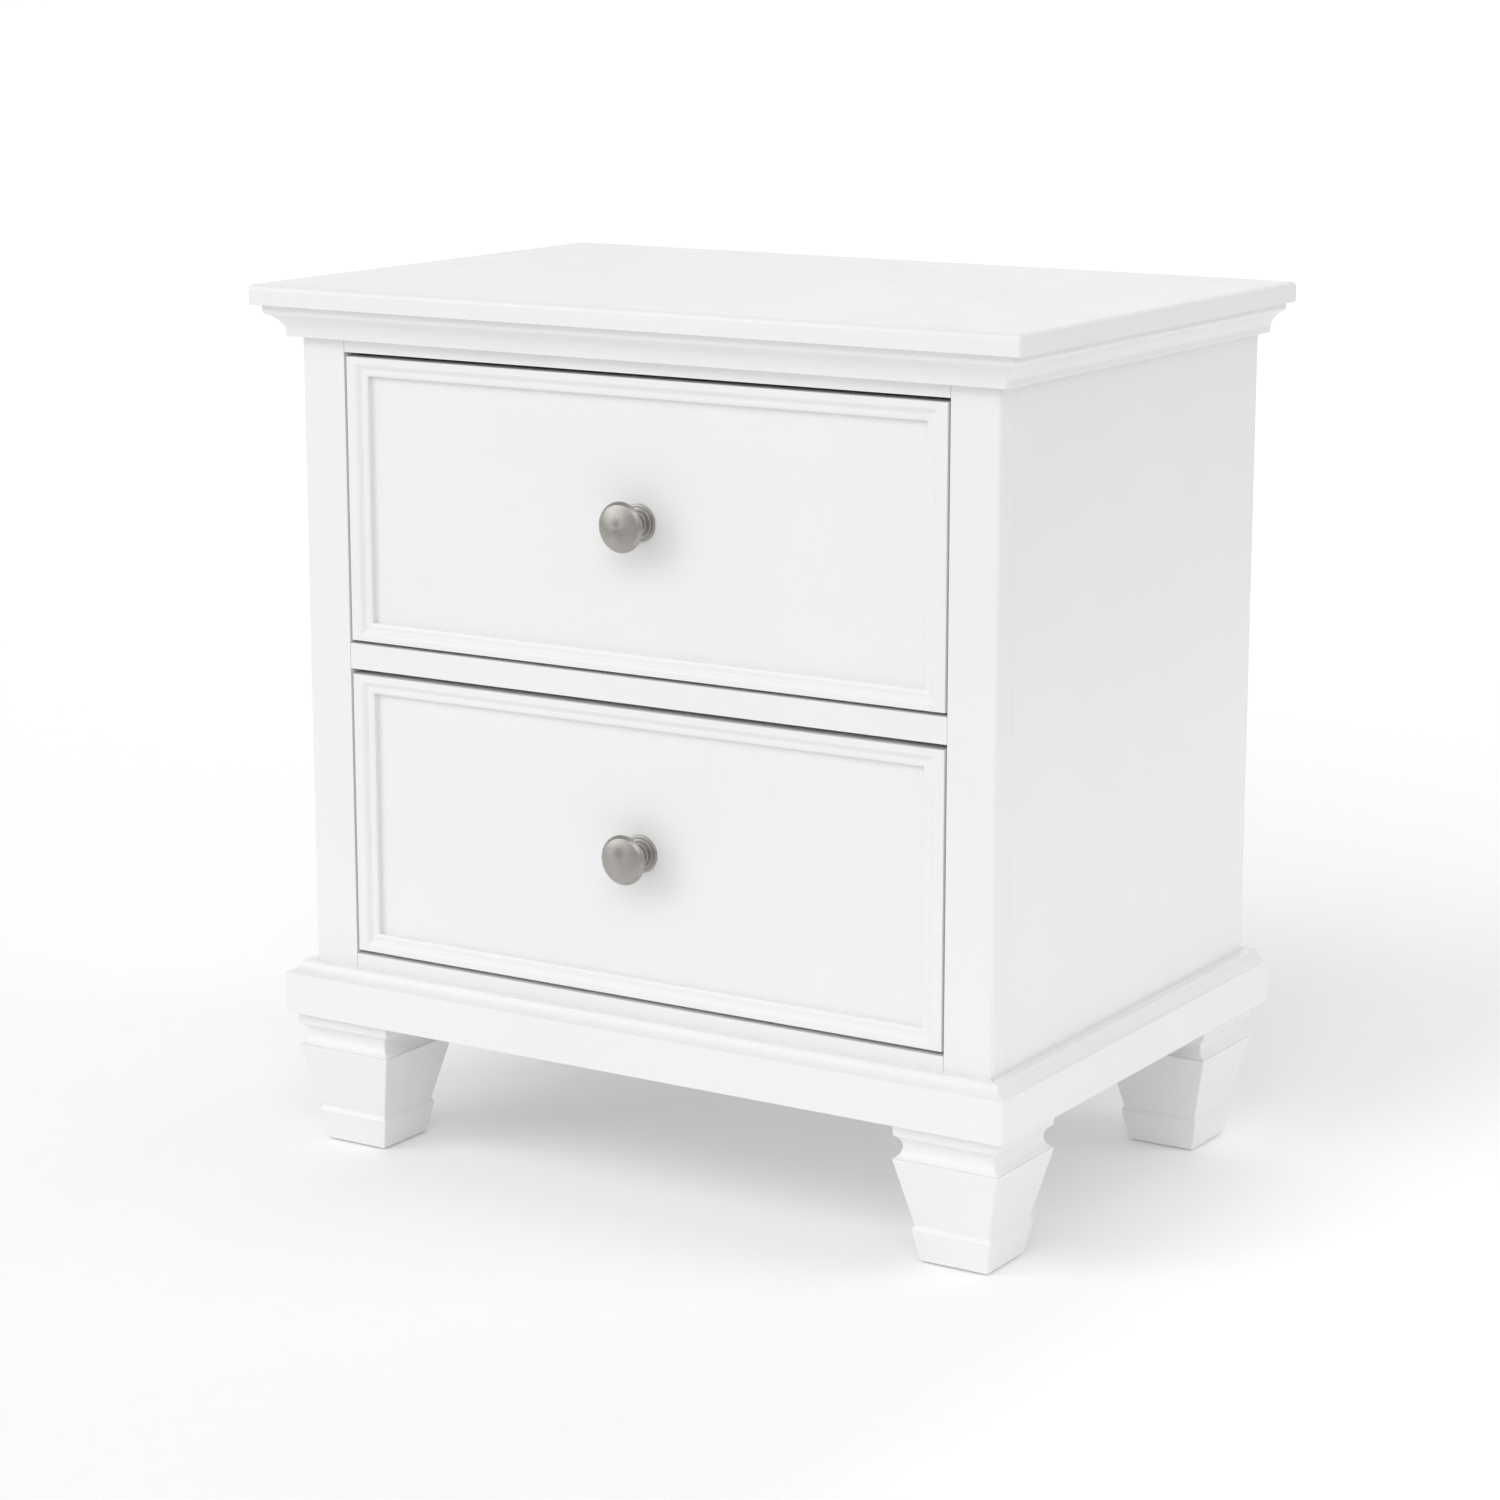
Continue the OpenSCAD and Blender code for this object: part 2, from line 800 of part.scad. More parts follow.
knob_screw(LOWER);  // lower_knob_screw
front_screws(LOWER);  // lower_front_screws
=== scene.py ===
"""Looks of a white nightstand with two drawers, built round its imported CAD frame.

Everything is in metres in the CAD frame: the origin is on the floor under the middle of the nightstand,
+Z is up and the drawers open towards -Y. Lengths written in millimetres are multiplied by MM.
"""

import math

import bmesh
import bpy
from mathutils import Matrix, Vector


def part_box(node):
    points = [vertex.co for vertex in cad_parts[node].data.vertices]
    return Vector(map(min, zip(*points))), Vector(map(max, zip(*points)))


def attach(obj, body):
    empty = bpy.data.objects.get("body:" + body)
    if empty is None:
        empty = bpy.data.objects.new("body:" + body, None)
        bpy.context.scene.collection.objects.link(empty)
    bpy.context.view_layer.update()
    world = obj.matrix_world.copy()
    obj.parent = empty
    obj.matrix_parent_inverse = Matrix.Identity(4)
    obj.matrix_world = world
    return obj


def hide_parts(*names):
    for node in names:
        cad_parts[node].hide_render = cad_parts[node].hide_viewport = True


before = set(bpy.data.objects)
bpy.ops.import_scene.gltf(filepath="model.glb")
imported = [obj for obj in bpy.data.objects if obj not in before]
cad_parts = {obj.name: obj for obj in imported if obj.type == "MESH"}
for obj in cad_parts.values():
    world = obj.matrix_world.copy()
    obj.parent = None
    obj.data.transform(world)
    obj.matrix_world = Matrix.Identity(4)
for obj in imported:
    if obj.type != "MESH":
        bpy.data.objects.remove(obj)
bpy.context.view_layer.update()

MM = 0.001
X, Y, Z = Vector((1, 0, 0)), Vector((0, 1, 0)), Vector((0, 0, 1))
scene = bpy.context.scene


# ---------------------------------------------------------------- camera, light and floor

CAMERA_PLACE = Vector((1.5214, -2.4609, 0.9419))
CAMERA_LOOK = Vector((-0.51938, 0.82742, -0.21356))
CAMERA_LENS = 92.9
CAMERA_SENSOR = 36


def make_camera():
    """A camera placed to see the nightstand as the photo does."""
    nearest, farthest = 0.05, 60
    data = bpy.data.cameras.new("camera")
    data.lens = CAMERA_LENS
    data.sensor_width = CAMERA_SENSOR
    data.clip_start = nearest
    data.clip_end = farthest
    camera = bpy.data.objects.new("camera", data)
    camera.location = CAMERA_PLACE
    camera.rotation_euler = CAMERA_LOOK.to_track_quat("-Z", "Y").to_euler()
    scene.collection.objects.link(camera)
    scene.camera = camera


def make_softbox(name, place, target, size, power):
    """A square area light at place, turned to target, with its power in watts."""
    data = bpy.data.lights.new(name, "AREA")
    data.shape = "SQUARE"
    data.size = size
    data.energy = power
    light = bpy.data.objects.new(name, data)
    light.location = place
    light.rotation_euler = (Vector(target) - Vector(place)).to_track_quat("-Z", "Y").to_euler()
    scene.collection.objects.link(light)


def make_lights():
    """An even white sky, softboxes low and high at the front and two at the right, turned to the middle."""
    sky, size, middle = 0.54, 3.0, (0, 0, 0.35)
    world = bpy.data.worlds.new("studio")
    world.use_nodes = True
    background = world.node_tree.nodes["Background"]
    background.inputs["Color"].default_value = (1, 1, 1, 1)
    background.inputs["Strength"].default_value = sky
    scene.world = world
    for name, place, power in (
        ("key left low", (-3.6, -4.2, 2.2), 50),
        ("key right low", (2.6, -5.0, 2.4), 12),
        ("key left", (-2.6, -3.8, 4.2), 32),
        ("key middle", (0.2, -4.6, 4.4), 38),
        ("key right", (2.4, -3.9, 4.2), 40),
        ("fill back", (5.0, 2.0, 2.3), 33),
        ("fill right", (4.2, 1.2, 3.8), 20),
    ):
        make_softbox(name, place, middle, size, power)


def make_backdrop():
    """A sheet of studio paper: the floor, and a wall behind that it sweeps up into."""
    half_width, front, sweep_start, sweep, top = 8.0, -8.0, 2.6, 1.4, 6.0
    path = [(front, 0.0)] + arc((sweep_start, sweep), sweep, -90, 0, 16) + [(sweep_start + sweep, top)]
    bm = bmesh.new()
    loft(bm, [[(x, y, z) for y, z in path] for x in (-half_width, half_width)], closed=False, caps=False)
    mesh = bpy.data.meshes.new("studio_paper")
    bm.to_mesh(mesh)
    bm.free()
    mesh.shade_smooth()
    mesh.materials.append(paper())
    backdrop = bpy.data.objects.new("studio_paper", mesh)
    scene.collection.objects.link(backdrop)


# ---------------------------------------------------------------- material nodes


class Nodes:
    """A new material's node tree, with short calls to add and join nodes."""

    def __init__(self, name):
        self.material = bpy.data.materials.new(name)
        self.material.use_nodes = True
        self.tree = self.material.node_tree
        self.shader = self.tree.nodes["Principled BSDF"]
        self.place = self.add("ShaderNodeTexCoord").outputs["Object"]

    def add(self, kind, **settings):
        node = self.tree.nodes.new(kind)
        for key, value in settings.items():
            setattr(node, key, value)
        return node

    def join(self, value, socket):
        """Sets a socket to a number or colour, or links it to another node's output."""
        if isinstance(value, bpy.types.NodeSocket):
            self.tree.links.new(value, socket)
        else:
            socket.default_value = value

    def set(self, **inputs):
        """Sets or links the shader's inputs; an underscore in a name stands for a space."""
        for key, value in inputs.items():
            self.join(value, self.shader.inputs[key.replace("_", " ")])

    def scaled(self, factors):
        """The object coordinates scaled by a factor along each axis."""
        node = self.add("ShaderNodeMapping")
        self.join(self.place, node.inputs["Vector"])
        node.inputs["Scale"].default_value = factors
        return node.outputs["Vector"]

    def noise(self, vector, scale, detail, roughness=0.5, distortion=0):
        node = self.add("ShaderNodeTexNoise")
        self.join(vector, node.inputs["Vector"])
        node.inputs["Scale"].default_value = scale
        node.inputs["Detail"].default_value = detail
        node.inputs["Roughness"].default_value = roughness
        node.inputs["Distortion"].default_value = distortion
        return node.outputs["Fac"]

    def math(self, operation, *values):
        node = self.add("ShaderNodeMath", operation=operation)
        for value, socket in zip(values, node.inputs):
            self.join(value, socket)
        return node.outputs[0]

    def remap(self, value, low, high, from_low=0.0, from_high=1.0):
        """The value's range from_low to from_high carried to low to high."""
        node = self.add("ShaderNodeMapRange")
        for number, socket in zip((value, from_low, from_high, low, high), node.inputs):
            self.join(number, socket)
        return node.outputs[0]

    def ramp(self, value, *stops):
        """A colour ramp; each stop is (position, (r, g, b))."""
        node = self.add("ShaderNodeValToRGB")
        self.join(value, node.inputs["Fac"])
        elements = node.color_ramp.elements
        while len(elements) < len(stops):
            elements.new(0.5)
        for element, (position, colour) in zip(elements, stops):
            element.position = position
            element.color = (*colour, 1)
        return node.outputs["Color"]

    def mix(self, factor, first, second):
        """Two colours mixed by a factor."""
        node = self.add("ShaderNodeMix", data_type="RGBA")
        self.join(factor, node.inputs["Factor"])
        colours = [s for s in node.inputs if s.type == "RGBA"]
        for value, socket in zip((first, second), colours):
            self.join((*value, 1) if isinstance(value, tuple) and len(value) == 3 else value, socket)
        return [s for s in node.outputs if s.type == "RGBA"][0]

    def bump(self, height, distance, strength, under=None):
        """A bump that is distance high, in metres, over another bump if one is given."""
        node = self.add("ShaderNodeBump")
        node.inputs["Strength"].default_value = strength
        node.inputs["Distance"].default_value = distance
        self.join(height, node.inputs["Height"])
        if under is not None:
            self.join(under, node.inputs["Normal"])
        return node.outputs["Normal"]

    def parts(self, vector):
        """The three coordinates of a vector."""
        node = self.add("ShaderNodeSeparateXYZ")
        self.join(vector, node.inputs[0])
        return node.outputs


# ---------------------------------------------------------------- materials


def paper():
    """Studio paper: matt, white round the nightstand, with painted shade that makes it
    dimmer well out to the front and right.

    It glows with painted light, as if lit from below, and more so towards the back and out to the sides.
    """
    n = Nodes("studio_paper")
    bright, fade, painted_shade_grey = 0.85, 0.7, (0.62, 0.62, 0.62)
    near, far, far_at = 0.08, 0.235, 2.5
    right, left, start, full = 0.26, 0.05, 0.35, 0.75
    x, y, _ = n.parts(n.place)
    # Painted shade: beyond 0.85 m out to the right or the front the paper turns grey, and its glow fades
    # out.
    painted_shade_away = n.math(
        "MAXIMUM",
        n.remap(x, 0.0, 1.0, bright, bright + fade),
        n.remap(y, 0.0, 1.0, -bright, -bright - fade),
    )
    painted_glow_beside = n.math("ADD", n.remap(x, 0.0, right, start, full), n.remap(x, 0.0, left, -start, -full))
    # Painted light: the paper glows though it is no lamp, more so towards the back and out to the sides.
    painted_glow = n.math("ADD", n.remap(y, near, far, 0.0, far_at), painted_glow_beside)
    grain = n.noise(n.place, 60, detail=4)
    white = n.ramp(grain, (0.3, (0.93, 0.93, 0.93)), (0.7, (0.95, 0.95, 0.95)))
    n.set(
        Base_Color=n.mix(painted_shade_away, white, painted_shade_grey),
        Roughness=0.95,
        Specular_IOR_Level=0.0,
        Emission_Color=(1, 1, 1, 1),
        Emission_Strength=n.math("MULTIPLY", n.remap(painted_shade_away, 1.0, 0.0), painted_glow),
    )
    return n.material


def white_paint():
    """Sprayed satin lacquer: a faint orange peel, and a little unevenness in tone and gloss."""
    n = Nodes("white_lacquer")
    tone = n.noise(n.place, 5, detail=2)
    cloud = n.noise(n.place, 26, detail=3)
    peel = n.noise(n.place, 520, detail=2, roughness=0.4)
    fibre = n.noise(n.place, 2600, detail=1)
    n.set(
        Base_Color=n.ramp(tone, (0.25, (0.865, 0.866, 0.868)), (0.75, (0.885, 0.884, 0.882))),
        Roughness=n.remap(cloud, 0.28, 0.38, 0.3, 0.7),
        Normal=n.bump(fibre, 0.00001, 0.2, under=n.bump(peel, 0.00003, 0.35)),
    )
    return n.material


def wood_axes(grain_axis):
    """Factors that stretch a texture along the grain axis of a board."""
    stretch = 0.045
    factors = [1.0, 1.0, 1.0]
    factors[grain_axis] = stretch
    return factors


def plywood(name, grain_axis, thick_axis):
    """Sealed birch plywood: long grain on its faces, and plies on the edges across its thickness."""
    ply_pitch, facing = 3.4 * MM, 0.7
    n = Nodes(name)
    along = n.scaled(wood_axes(grain_axis))
    fine = n.noise(along, 520, detail=4, roughness=0.6)
    broad = n.noise(along, 46, detail=3, roughness=0.55, distortion=0.6)
    face = n.ramp(
        n.math("ADD", n.math("MULTIPLY", broad, 0.7), n.math("MULTIPLY", fine, 0.3)),
        (0.3, (0.50, 0.36, 0.215)),
        (0.5, (0.62, 0.465, 0.30)),
        (0.7, (0.72, 0.57, 0.39)),
    )
    across = n.parts(n.place)[thick_axis]
    wave = n.math("SINE", n.math("MULTIPLY", across, 2 * math.pi / ply_pitch))
    speckle = n.noise(n.place, 900, detail=2)
    plies = n.ramp(
        n.math("ADD", n.remap(wave, 0.2, 0.8, -0.4, 0.4), n.remap(speckle, -0.2, 0.2)),
        (0.1, (0.34, 0.22, 0.12)),
        (0.9, (0.68, 0.53, 0.36)),
    )
    normal = n.add("ShaderNodeTexCoord").outputs["Normal"]
    on_face = n.math("GREATER_THAN", n.math("ABSOLUTE", n.parts(normal)[thick_axis]), facing)
    n.set(
        Base_Color=n.mix(on_face, plies, face),
        Roughness=n.remap(fine, 0.42, 0.6),
        Normal=n.bump(fine, 0.00006, 0.6),
    )
    return n.material


def pine(name, grain_axis):
    """Bare softwood with growth rings that run along one axis."""
    n = Nodes(name)
    along = n.scaled(wood_axes(grain_axis))
    rings = n.noise(along, 85, detail=2, roughness=0.5, distortion=1.2)
    stripes = n.math("FRACT", n.math("MULTIPLY", rings, 7))
    fine = n.noise(along, 900, detail=3)
    wood = n.ramp(stripes, (0.0, (0.62, 0.45, 0.26)), (0.75, (0.70, 0.53, 0.33)), (1.0, (0.42, 0.25, 0.11)))
    n.set(
        Base_Color=n.mix(n.remap(fine, 0.0, 0.35), wood, (0.50, 0.34, 0.18)),
        Roughness=0.68,
        Normal=n.bump(fine, 0.0001, 0.6),
    )
    return n.material


def hardboard():
    """Smooth brown hardboard with a felt of short fibres."""
    n = Nodes("brown_hardboard")
    felt = n.noise(n.place, 380, detail=5, roughness=0.65)
    cloud = n.noise(n.place, 14, detail=3)
    brown = n.ramp(
        n.math("ADD", n.math("MULTIPLY", felt, 0.6), n.math("MULTIPLY", cloud, 0.4)),
        (0.3, (0.215, 0.13, 0.07)),
        (0.5, (0.31, 0.20, 0.12)),
        (0.72, (0.41, 0.285, 0.18)),
    )
    n.set(
        Base_Color=brown,
        Roughness=n.remap(felt, 0.45, 0.65),
        Normal=n.bump(felt, 0.00008, 0.5),
    )
    return n.material


def zinc_steel():
    """Bright zinc plate with the faint lines of the rolled strip."""
    n = Nodes("zinc_plate")
    rolled = n.noise(n.scaled((1, 0.03, 1)), 1400, detail=3)
    bloom = n.noise(n.place, 60, detail=4)
    n.set(
        Base_Color=n.ramp(bloom, (0.3, (0.58, 0.59, 0.60)), (0.7, (0.68, 0.69, 0.71))),
        Metallic=1.0,
        Roughness=n.remap(rolled, 0.24, 0.4),
        Normal=n.bump(rolled, 0.00003, 0.5),
    )
    return n.material


def satin_nickel(centre):
    """Nickel brushed round the knob's axis, which runs along Y through centre."""
    n = Nodes("satin_nickel")
    x, _, z = n.parts(n.place)
    out_x = n.math("SUBTRACT", x, centre.x)
    out_z = n.math("SUBTRACT", z, centre.z)
    radius = n.math("SQRT", n.math("ADD", n.math("POWER", out_x, 2.0), n.math("POWER", out_z, 2.0)))
    rings = n.add("ShaderNodeCombineXYZ")
    n.join(radius, rings.inputs[0])
    brushing = n.noise(rings.outputs[0], 5200, detail=2)
    bloom = n.noise(n.place, 120, detail=3)
    tangent = n.add("ShaderNodeTangent", direction_type="RADIAL", axis="Y")
    n.set(
        Base_Color=n.ramp(bloom, (0.3, (0.385, 0.369, 0.346)), (0.7, (0.435, 0.418, 0.394))),
        Metallic=1.0,
        Roughness=n.remap(brushing, 0.27, 0.37, 0.3, 0.7),
        Anisotropic=0.7,
        Tangent=tangent.outputs[0],
        Normal=n.bump(brushing, 0.00002, 0.35),
    )
    return n.material


def nylon():
    """Moulded nylon, a little cloudy and translucent."""
    n = Nodes("nylon")
    cloud = n.noise(n.place, 90, detail=3)
    n.set(
        Base_Color=n.ramp(cloud, (0.3, (0.60, 0.59, 0.56)), (0.7, (0.68, 0.67, 0.64))),
        Roughness=n.remap(cloud, 0.4, 0.55),
        Subsurface_Weight=0.05,
        Normal=n.bump(cloud, 0.00005, 0.4),
    )
    return n.material


# ---------------------------------------------------------------- outlines


def arc(centre, radius, start, end, steps):
    """Points on an arc about centre from one angle to another, in degrees."""
    angles = [math.radians(start + (end - start) * i / steps) for i in range(steps + 1)]
    return [(centre[0] + radius * math.cos(a), centre[1] + radius * math.sin(a)) for a in angles]


def arc_between(first, last, radius, steps):
    """Points on an arc whose centre lies to the right of the way from its first to its last point."""
    first, last = Vector(first), Vector(last)
    half = (last - first) / 2
    right = Vector((half.y, -half.x)).normalized()
    centre = first + half + right * math.sqrt(radius ** 2 - half.length_squared)
    start = math.degrees(math.atan2(first.y - centre.y, first.x - centre.x))
    turn = 2 * math.degrees(math.asin(half.length / radius))
    return arc(centre, radius, start, start - turn, steps)


def eased(points, steps=3, closed=True):
    """An outline whose corners given as (x, y, radius) are rounded; those given as (x, y) stay sharp."""
    result = []
    count = len(points)
    for i, point in enumerate(points):
        radius = point[2] if len(point) > 2 else 0
        corner = Vector(point[:2])
        if not radius or (not closed and i in (0, count - 1)):
            result.append(tuple(corner))
            continue
        back = (Vector(points[i - 1][:2]) - corner).normalized()
        ahead = (Vector(points[(i + 1) % count][:2]) - corner).normalized()
        half = back.angle(ahead) / 2
        centre = corner + (back + ahead).normalized() * (radius / math.sin(half))
        first = corner + back * (radius / math.tan(half)) - centre
        last = corner + ahead * (radius / math.tan(half)) - centre
        turn = first.angle_signed(last)
        for k in range(steps + 1):
            spoke = first.copy()
            spoke.rotate(Matrix.Rotation(-turn * k / steps, 2))
            result.append(tuple(centre + spoke))
    return result


def quarter(steps):
    """Angles from 0 to a right angle."""
    return [math.pi / 2 * i / steps for i in range(steps + 1)]


def round_rectangle(low, high, inset, radius):
    """The outline, in plan, of a box's footprint drawn in by inset, with rounded corners."""
    steps = 4
    centre = [(low[i] + high[i]) / 2 for i in (0, 1)]
    half = [(high[i] - low[i]) / 2 - inset - radius for i in (0, 1)]
    ring = []
    for turn, (x, y) in enumerate(((1, 1), (-1, 1), (-1, -1), (1, -1))):
        corner = (centre[0] + x * half[0], centre[1] + y * half[1])
        ring += arc(corner, radius, 90 * turn, 90 * turn + 90, steps)
    return ring


def strip_outline(path, thickness):
    """The closed outline of sheet metal bent along a path of points."""
    sharpest = 0.5
    path = [Vector(p) for p in path]
    sides = ([], [])
    for i, point in enumerate(path):
        before = (point - path[i - 1]).normalized() if i else (path[1] - point).normalized()
        after = (path[i + 1] - point).normalized() if i + 1 < len(path) else before
        along = (before + after).normalized()
        normal = Vector((-along.y, along.x))
        reach = thickness / 2 / max(sharpest, along.dot(after))
        sides[0].append(tuple(point + normal * reach))
        sides[1].append(tuple(point - normal * reach))
    return sides[0] + sides[1][::-1]


# ---------------------------------------------------------------- mesh helpers

# Faces that meet at more than SHARP_DEGREES have a sharp edge, and a radius under TINY is a point.
SHARP_DEGREES = 38
TINY = 1e-6


def add_piece(name, bm, material, body, replaces):
    """Turns a bmesh, in metres, into a shown piece that rides on a body and stands for CAD nodes."""
    bmesh.ops.recalc_face_normals(bm, faces=bm.faces)
    mesh = bpy.data.meshes.new(name)
    bm.to_mesh(mesh)
    bm.free()
    mesh.materials.append(material)
    mesh.shade_smooth()
    mesh.set_sharp_from_angle(angle=math.radians(SHARP_DEGREES))
    piece = bpy.data.objects.new(name, mesh)
    scene.collection.objects.link(piece)
    normals = piece.modifiers.new("flat faces stay flat", "WEIGHTED_NORMAL")
    normals.keep_sharp = True
    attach(piece, body)
    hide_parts(*replaces)


def loft(bm, sections, closed=True, caps=True):
    """Quads between sections, each a ring of points, and a face over each end."""
    rings = [[bm.verts.new(p) for p in section] for section in sections]
    count = len(rings[0])
    for first, second in zip(rings, rings[1:]):
        for i in range(count if closed else count - 1):
            j = (i + 1) % count
            bm.faces.new((first[i], first[j], second[j], second[i]))
    if caps:
        bm.faces.new(rings[0][::-1])
        bm.faces.new(rings[-1])


def add_box(bm, low, high, ease, wide=None):
    """A box with its edges eased. wide is (radius, test), where test picks the edges that get radius."""
    ease_steps, wide_steps, corner_angle = 2, 5, 1.0
    part = bmesh.new()
    bmesh.ops.create_cube(part, size=1)
    low, high = Vector(low), Vector(high)
    for vert in part.verts:
        vert.co = Vector(high[i] if vert.co[i] > 0 else low[i] for i in range(3))
    if wide:
        radius, test = wide
        picked = [e for e in part.edges if test((e.verts[0].co + e.verts[1].co) / 2 - (low + high) / 2)]
        bmesh.ops.bevel(part, geom=picked, offset=radius, segments=wide_steps, profile=0.5, affect="EDGES")
    sharp = [e for e in part.edges if e.calc_face_angle() > corner_angle]
    bmesh.ops.bevel(part, geom=sharp, offset=ease, segments=ease_steps, profile=0.5, affect="EDGES")
    merge(bm, part)


def merge(bm, part, matrix=None):
    """Adds one bmesh's geometry, moved by matrix, to another, and frees it."""
    mesh = bpy.data.meshes.new("part")
    part.to_mesh(mesh)
    part.free()
    if matrix is not None:
        mesh.transform(matrix)
    bm.from_mesh(mesh)
    bpy.data.meshes.remove(mesh)


def add_lathe(bm, outline, place, along, steps=96):
    """A solid turned about an axis from place along a direction; outline is (radius, distance) in mm."""
    across = along.orthogonal().normalized()
    other = along.cross(across)
    rings = []
    for radius, distance in outline:
        middle = place + along * distance * MM
        if radius < TINY:
            rings.append([bm.verts.new(middle)])
            continue
        ring = []
        for i in range(steps):
            a = 2 * math.pi * i / steps
            ring.append(bm.verts.new(middle + (across * math.cos(a) + other * math.sin(a)) * radius * MM))
        rings.append(ring)
    for first, second in zip(rings, rings[1:]):
        for i in range(steps):
            j = (i + 1) % steps
            corners = [first[i % len(first)], first[j % len(first)]]
            corners += [second[j % len(second)], second[i % len(second)]]
            bm.faces.new(list(dict.fromkeys(corners)))
    if len(rings[0]) > 1:
        bm.faces.new(rings[0])
    if len(rings[-1]) > 1:
        bm.faces.new(rings[-1])


def add_run(bm, outline, start, end, out, ends):
    """A moulding from start to end. The outline is (reach along out, height) in mm.

    Each end is square, or outer, where it turns an outside corner that is eased to MOULDING_CORNER.
    """
    along = (end - start).normalized()

    def end_sections(place, inward, kind):
        if kind == "square":
            return [[place + out * r * MM + Z * h * MM for r, h in outline]]
        sections = []
        for degrees in (45, 30, 15, 0):
            a = math.radians(degrees)
            step = MOULDING_CORNER * (1 - math.sin(a))
            shrink = MOULDING_CORNER * (1 - math.cos(a))
            sections.append([
                place + inward * (step - r) * MM + out * max(0.0, r - shrink) * MM + Z * h * MM
                for r, h in outline
            ])
        return sections

    loft(bm, end_sections(start, along, ends[0]) + end_sections(end, -along, ends[1])[::-1])


# ---------------------------------------------------------------- pieces of the case

painted = white_paint()
birch_sides = plywood("birch_sides", 1, 0)
birch_ends = plywood("birch_ends", 0, 1)
pine_across = pine("pine_across", 0)
pine_along = pine("pine_along", 1)
brown_board = hardboard()
zinc = zinc_steel()
glide_nylon = nylon()

half_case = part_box("side_panel_right")[1].x
case_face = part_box("stile_right")[0].y
EDGE = 0.35 * MM

# In millimetres: mitres of the mouldings, reach of the base moulding, outer corners of the case.
MOULDING_CORNER = 1.2
BASE_REACH = 18.0
POST_ROUND = 2.5


def painted_board(node, ease=EDGE, wide=None, short=0.0):
    """A painted board of the case in the place of a CAD node, its edges eased and its ends cut short."""
    bm = bmesh.new()
    low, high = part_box(node)
    add_box(bm, low + X * short, high - X * short, ease, wide=wide)
    add_piece(node + "_painted", bm, painted, "case", [node])


def make_top_panel():
    """The slab: rounded along its upper edge, with eased vertical corners and a crisp lower edge."""
    low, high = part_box("top_panel")
    corner, tightest, upper, lower = 2.2, 0.2, 4.5, 0.6
    profile = [(lower * (1 - math.sin(a)), low.z + lower * (1 - math.cos(a)) * MM) for a in quarter(2)]
    profile += [(upper * (1 - math.cos(a)), high.z + upper * (math.sin(a) - 1) * MM) for a in quarter(6)]
    sections = []
    for inset, height in profile:
        ring = round_rectangle(low, high, inset * MM, max(tightest, corner - inset) * MM)
        sections.append([Vector((x, y, height)) for x, y in ring])
    bm = bmesh.new()
    loft(bm, sections)
    add_piece("top_panel_painted", bm, painted, "case", ["top_panel"])


def crown_outline():
    """Fillet, cove and plain band, from the wall at the foot of the crown and round."""
    height, reach, fillet, fillet_flat, fillet_cut = 24.0, 21.0, 6.9, 4.8, 1.0
    band, band_reach, cove_radius = 4.7, 8.6, 16.5
    fillet_foot = (reach - fillet_cut, height - fillet)
    cove = arc_between((band_reach, band), fillet_foot, cove_radius, 12)
    top = [(*fillet_foot, 0.5), (reach, height - fillet_flat, 1.5), (reach, height)]
    return (
        [(0, 0)]
        + eased([(0, 0), (band_reach, 0, 0.8), cove[0]], closed=False)[1:-1]
        + cove[:-1]
        + eased([cove[-2]] + top, closed=False)[1:]
        + [(0, height)]
    )


def base_outline(reach):
    """Plain face with a cove above it that ends in a narrow ledge."""
    height, face, radius = 40.5, 32.0, 9.9
    end = math.degrees(math.asin((height - face - radius) / radius))
    cove = arc((reach, face + radius), radius, 270, 180 - end, 10)
    return (
        [(0, 0)]
        + eased([(0, 0), (reach, 0, 0.6), (reach, face)], closed=False)[1:-1]
        + eased([(reach, 0), (reach, face, 0.45), cove[2]], closed=False)[1:-1]
        + cove[2:-1]
        + eased([cove[-2], (*cove[-1], 0.35), (0, height)], closed=False)[1:-1]
        + [(0, height)]
    )


def make_mouldings():
    """The crown and the base, each a front length and two sides mitred to it."""
    for kind, outline in (("crown", crown_outline()), ("base", base_outline(BASE_REACH))):
        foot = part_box(kind + "_front")[0].z
        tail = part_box(kind + "_right")[1].y
        corners = {side: Vector((side * half_case, case_face, foot)) for side in (-1, 1)}
        bm = bmesh.new()
        add_run(bm, outline, corners[-1], corners[1], -Y, ("outer", "outer"))
        add_piece(kind + "_front_painted", bm, painted, "case", [kind + "_front"])
        for side, word in ((-1, "left"), (1, "right")):
            bm = bmesh.new()
            end = Vector((side * half_case, tail, foot))
            add_run(bm, outline, corners[side], end, side * X, ("outer", "square"))
            node = f"{kind}_{word}"
            add_piece(node + "_painted", bm, painted, "case", [node])


def make_case():
    """Stiles with rounded outer corners, rails with hairline joints, sides, the base's back and the back."""
    rail_ease, rail_gap, base_ease = 0.5 * MM, 0.25 * MM, 0.8 * MM
    for side, word in ((-1, "left"), (1, "right")):
        painted_board(
            "stile_" + word,
            wide=(POST_ROUND * MM, lambda m, s=side: m.x * s > 0 and m.y < 0 and abs(m.z) < MM),
        )
        make_side_panel(side, word)
    for rail in ("top_rail", "middle_rail", "bottom_rail"):
        painted_board(rail, ease=rail_ease, short=rail_gap)
    painted_board("base_back", ease=base_ease)
    make_back()


